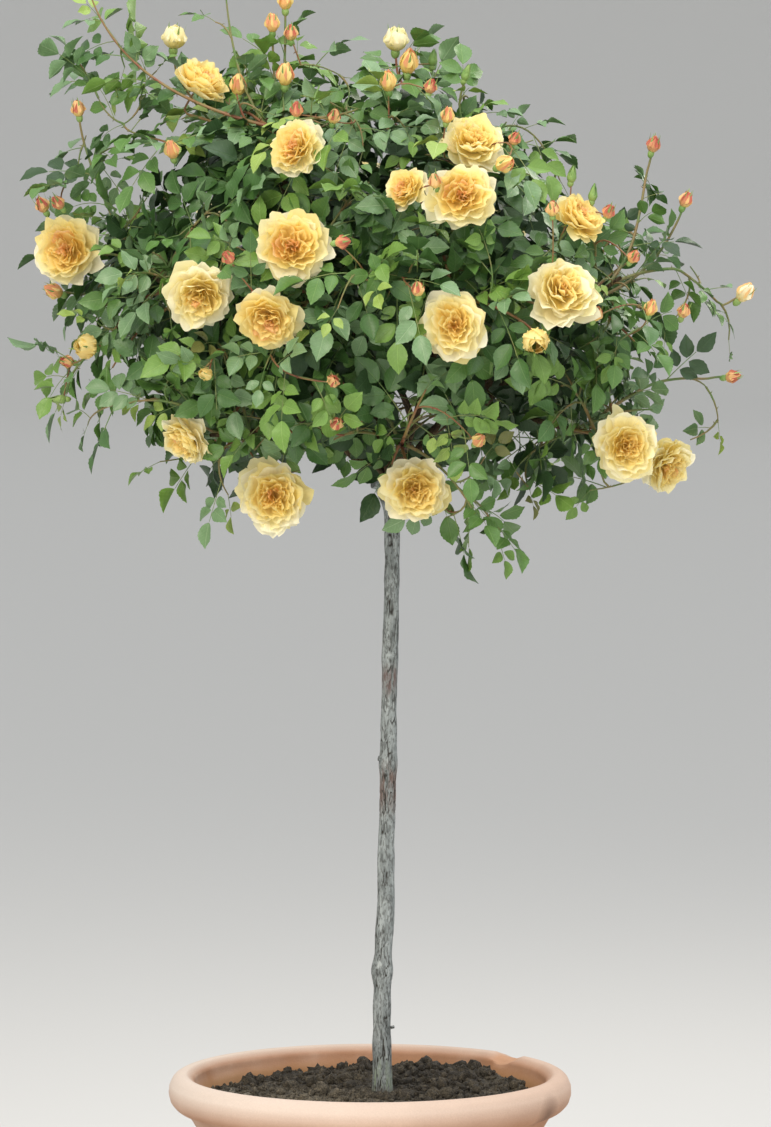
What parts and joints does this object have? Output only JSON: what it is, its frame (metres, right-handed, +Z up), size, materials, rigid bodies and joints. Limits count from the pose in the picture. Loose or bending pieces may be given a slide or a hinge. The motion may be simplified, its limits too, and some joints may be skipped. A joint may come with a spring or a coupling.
{
  "type": "potted standard rose bush",
  "caption": "Full standard rose bush with a bare upright stem, a round crown of leaves, buds and full yellow blooms, in a tapered terracotta pot with a rolled rim",
  "frame": {"origin": "middle of the pot's flat underside", "axes": "+Z up along the stem; X to the right and Y away from the side that the picture shows"},
  "size_m": [1.1948, 0.9857, 2.2737],
  "materials": {
    "terracotta": "unglazed fired clay, pale and dusty on the rim",
    "compost": "moist crumbly potting soil",
    "bark": "grey weathered bark with dark fissures",
    "cane": "brown and green rose canes",
    "foliage": "matt rose leaves with yellow blooms and buds",
    "petal": "soft yellow petals, apricot in the heart"
  },
  "bodies": {
    "root": {"pot": "terracotta", "soil": "compost", "trunk": "bark", "bough_mid_front": "cane", "bough_mid_right_front": "cane", "bough_mid_right_back": "cane", "bough_mid_back_left": "cane", "bough_mid_left_back": "cane", "bough_mid_left_front": "cane", "bough_heart": "cane", "bough_mid_front_left": "cane", "bough_mid_back_right": "cane", "bough_low_front": "cane", "bough_low_right_front": "cane", "bough_low_right_back": "cane", "bough_low_back": "cane", "bough_low_left_back": "cane", "bough_low_left_front": "cane", "bough_top_right_front": "cane", "bough_top_right_back": "cane", "bough_top_left_back": "cane", "bough_top_left_front": "cane", "foliage_mid_front": "foliage", "foliage_mid_right_front": "foliage", "foliage_mid_right_back": "foliage", "foliage_mid_back_left": "foliage", "foliage_mid_left_back": "foliage", "foliage_mid_left_front": "foliage", "foliage_heart": "foliage", "foliage_mid_front_left": "foliage", "foliage_mid_back_right": "foliage", "foliage_low_front": "foliage", "foliage_low_right_front": "foliage", "foliage_low_right_back": "foliage", "foliage_low_back": "foliage", "foliage_low_left_back": "foliage", "foliage_low_left_front": "foliage", "foliage_top_right_front": "foliage", "foliage_top_right_back": "foliage", "foliage_top_left_back": "foliage", "foliage_top_left_front": "foliage"}
  },
  "joints": []
}
